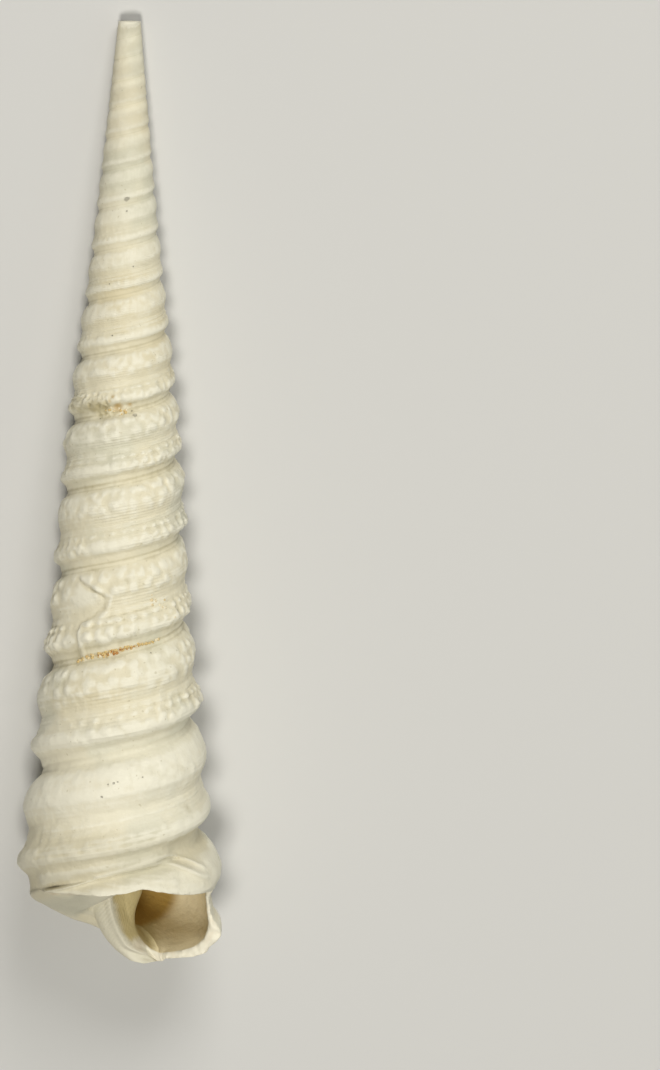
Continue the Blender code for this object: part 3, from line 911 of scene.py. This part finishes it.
tree = chalky_shell.node_tree
surface = tree.nodes["Principled BSDF"]
where = tree.nodes.new("ShaderNodeTexCoord").outputs["Object"]
upright = tree.nodes.new("ShaderNodeMapping")
upright.inputs["Rotation"].default_value = (LIE_SLOPE, 0.0, 0.0)
upright.inputs["Location"].default_value = -rest_place
tree.links.new(where, upright.inputs["Vector"])
spot = Value(tree, upright.outputs["Vector"])
parts = tree.nodes.new("ShaderNodeSeparateXYZ")
feed(parts.inputs[0], spot)
sideways, towards_tip, forward = [Value(tree, entry) for entry in parts.outputs]
down = towards_tip * -1.0
round_share = joined("ARCTAN2", forward, sideways) / TURN
turns = joined("LOGARITHM", down / SUTURE_ZERO, math.e) / GROWTH
seams_down = turns - round_share
place = joined("FRACT", seams_down + 8.0)

hollow = attribute(tree, "hollow")
inside = attribute(tree, "inside")
broken = attribute(tree, "broken")
fine = rough_field(spot, FINE, 4.0)
medium = rough_field(spot, MEDIUM, 4.0)
cloud = rough_field(spot, CLOUDY, 3.0)
colour = mixed(ramp(cloud, -0.02, 0.16), CREAM, GREY)
colour = mixed(ramp(rough_field(spot, 130.0, 3.0), 0.04, 0.24), colour, OCHRE)
colour = mixed(ramp(medium, 0.0, 0.22) * 0.45, colour, PALE)

# Worn crests are whiter; tan in hollows and seams is partly earth and partly painted shade,
# less so over the mouth.
crest = ramp(hollow * -1.0, 0.05, 1.1)
colour = mixed(crest * 0.75, colour, PALE)
over_mouth = ramp(turns, 10.85, 11.0) * ramp(forward, 0.0, MM)
earth_and_shade_share = over_mouth * -0.75 + 1.0
for start, end in ((9.5, 10.2), (6.0, 2.5)):
    earth_and_shade_share = earth_and_shade_share * (ramp(turns, start, end) * -0.4 + 1.0)
earth_and_shade = ramp(medium * 1.6 + hollow, 0.10, 1.6)
colour = mixed(earth_and_shade * earth_and_shade_share * 0.55, colour, TAN)
# The tan line along each seam crease is painted shade as well as earth.
seam_line = bell_of(place, SEAM_CREASE[0], 0.016)
colour = mixed(seam_line * earth_and_shade_share * 0.22, colour, TAN)

# The last whole turn is painted paler than the rest as painted light, and the strip below it is a
# shade darker.
last_turn_painted_light = ramp(turns, 9.6, 10.2) * ramp(turns, 10.95, 10.75)
colour = mixed(last_turn_painted_light * 0.4, colour, PALE)
colour = mixed(over_mouth * 0.4, colour, STRIP_SHADE)

# Local marks: the brown decayed patch with its amber spots, rust in one crease, dirt and painted
# shade in the hollow at the left end of the strip, and dark pits, partly stains and partly painted shade.
patch = bell_of(sideways, *PATCH[0]) * bell_of(down, *PATCH[1])
patch = patch * ramp(forward, 0.0, 0.5 * MM)
stain = ramp(medium * 2.4 + patch, 0.18, 1.10)
colour = mixed(stain * 0.75, colour, PATCH_BROWN)
for amber_x, amber_down, amber_radius in AMBER:
    amber = distance_to(spot, on_front(amber_x * MM, amber_down * MM))
    amber = medium * (0.9 * MM) + amber
    colour = mixed(ramp(amber, amber_radius * MM, 0.0) * 0.75, colour, AMBER_BROWN)
rust = distance_to(spot, on_front(*RUSTY_CREASE))
rust = (ramp(rust, 0.0029, 0.0012) * bell_of(place, 0.945, 0.030)
        * ramp(rough_field(spot, 1900.0, 2.0), -0.06, 0.10))
colour = mixed(rust * 0.45, colour, RUST_TINT)
# Dirt and painted shade in the hollow at the left end of the strip.
dirt_and_shade = bell_of(round_share, 0.382, 0.026) * bell_of(seams_down, 11.006, 0.018)
colour = mixed(dirt_and_shade * 0.55, colour, DIRT_AND_SHADE)
nearest = 9.0                   # from the nearest pit, in its own radii
for pit_x, pit_down, pit_radius in PITS:
    gap = distance_to(spot, on_front(pit_x * MM, pit_down * MM))
    nearest = joined("MINIMUM", gap / (pit_radius * MM), nearest)
# The pits' near-black is partly stain and partly painted shade inside them.
pitted = ramp(fine * 2.4 + nearest, 1.25, 0.6)
colour = mixed(pitted * 0.45, colour, DARK)
specks = ramp(rough_field(spot, 3300.0, 1.0), 0.235, 0.275)
colour = mixed(specks * 0.40, colour, TAN)

# Fresh broken edges, the inside of the tube with its painted light and shade, and the bare base,
# which is greyer and darker to the left, partly its own grey and partly painted shade.
fresh = mixed(ramp(medium, -0.05, 0.15), FRESH, FRESH_TAN)
colour = mixed(broken * 0.8, colour, fresh)
# Painted light on the tube near the mouth, painted shade on the pillar's side and deep inside.
tube_light_and_shade = mixed(ramp(sideways, 3.3 * MM, 2.0 * MM), TUBE_LIT_TAN, FLANK_SHADED_TAN)
tube_light_and_shade = mixed(ramp(inside, 0.27, 0.33), tube_light_and_shade, TUBE_DEEP_SHADE)
closing = ramp(seams_down, 11.05, 11.13) * ramp(forward, 0.0, MM)
# Towards the left the base is painted darker grey, partly its own tone and partly painted shade.
bare_base_and_shade = closing * ramp(sideways, -0.5 * MM, -2.4 * MM)
colour = mixed(closing * 0.5, colour, PALE)
colour = mixed(bare_base_and_shade * 0.5, colour, BASE_GREY_AND_SHADE)
colour = mixed(ramp(inside, 0.002, 0.014), colour, tube_light_and_shade)
grain = attribute(tree, "grain")
sand = mixed(ramp(grain, 0.55, 0.95), SAND, RUST)
sand = mixed(ramp(grain, 0.32, 0.22), sand, PALE_SAND)
colour = mixed(ramp(grain, 0.0, 0.1), colour, sand)
feed(surface.inputs["Base Color"], colour)
surface.inputs["Roughness"].default_value = ROUGHNESS
surface.inputs["Specular IOR Level"].default_value = SHEEN

# Fine threads along the spiral, growth lines across it, and chalky grain.
thread_wave = joined("COSINE", place * (THREADS * TURN) + cloud * 6.0)
thread_zone = ramp(place, 0.14, 0.24) * ramp(place, 0.88, 0.80)
thread_worn = ramp(rough_field(spot, 260.0, 2.0), -0.12, 0.10)
threads = thread_wave * thread_zone * thread_worn
lumpy = ramp(rough_field(spot, 300.0), -0.22, 0.12)
relief = threads * 0.009 + (fine * 0.05 + medium * 0.16 * lumpy) - pitted * 0.08
bump = tree.nodes.new("ShaderNodeBump")
bump.inputs["Strength"].default_value = BUMP_STRENGTH
bump.inputs["Distance"].default_value = MM
feed(bump.inputs["Height"], relief)
tree.links.new(bump.outputs["Normal"], surface.inputs["Normal"])


# --- The floor ---------------------------------------------------------------------------------
# A wide sheet of plain pale paper that the shell lies on. It only shows where the shell stands and
# takes its shadow, and it isn't part of the shell.

FLOOR_REACH = 3.0               # from its middle to its edges, in metres
PAPER = (0.62, 0.62, 0.61, 1.0)
bm = bmesh.new()
bmesh.ops.create_grid(bm, x_segments=1, y_segments=1, size=FLOOR_REACH)
floor_mesh = bpy.data.meshes.new("floor")
bm.to_mesh(floor_mesh)
bm.free()
floor = placed("floor", floor_mesh)
paper = bpy.data.materials.new("pale_paper")
paper.use_nodes = True
sheet = paper.node_tree.nodes["Principled BSDF"]
sheet.inputs["Base Color"].default_value = PAPER
sheet.inputs["Roughness"].default_value = 0.9
floor_mesh.materials.append(paper)


# --- Light and camera --------------------------------------------------------------------------
# Soft studio light from beyond the tip, with a weak cool fill on the right and a small one above the
# mouth. The camera looks down on the shell, nearly square to its axis.

LIT_PLACE = Vector((0.0, 0.027, 0.006))  # middle of the shell, where the lights point


def soft_light(name, place, size, power, colour):
    lamp = bpy.data.lights.new(name, "AREA")
    lamp.size = size
    lamp.energy = power
    lamp.color = colour
    holder = placed(name, lamp)
    holder.location = place
    holder.rotation_euler = (LIT_PLACE - Vector(place)).to_track_quat("-Z", "Y").to_euler()


soft_light("key", (0.12, 0.46, 0.38), 0.28, 1.85, (1.0, 0.98, 0.94))
soft_light("fill_right", (0.50, 0.05, 0.30), 0.40, 0.36, (0.95, 1.0, 0.94))
soft_light("fill_front", (-0.03, -0.09, 0.56), 0.14, 2.0, (1.0, 0.97, 0.90))

world = bpy.data.worlds.new("studio")
bpy.context.scene.world = world
world.use_nodes = True
world.node_tree.nodes["Background"].inputs["Color"].default_value = (1.0, 0.96, 0.87, 1.0)
world.node_tree.nodes["Background"].inputs["Strength"].default_value = 0.07

FRAME_HEIGHT = 1070             # height of the framing, in pixels
PIXELS_PER_MM = 15.41
CAMERA_DISTANCE = 0.62
FILM = 36.0                     # width of the film behind the lens, in its own millimetres
CAMERA_TILT = math.radians(6.73)  # from square to the axis, towards the tip
CAMERA_ROLL = math.radians(1.01)
aim = lie_down @ Vector((13.52 * MM, -41.5 * MM, 0.0))
tilt = LIE_SLOPE + CAMERA_TILT
back = Vector((0.0, math.sin(tilt), math.cos(tilt)))
lens = bpy.data.cameras.new("camera")
lens.sensor_width = FILM
lens.lens = FILM * CAMERA_DISTANCE / (FRAME_HEIGHT / PIXELS_PER_MM * MM)
camera = placed("camera", lens)
side = Vector((-math.sin(CAMERA_ROLL), math.cos(CAMERA_ROLL), 0.0)).cross(back).normalized()
facing_matrix = Matrix((side, back.cross(side), back)).transposed()
camera.matrix_world = Matrix.Translation(aim + back * CAMERA_DISTANCE) @ facing_matrix.to_4x4()
bpy.context.scene.camera = camera
bpy.context.scene.view_settings.view_transform = "Standard"
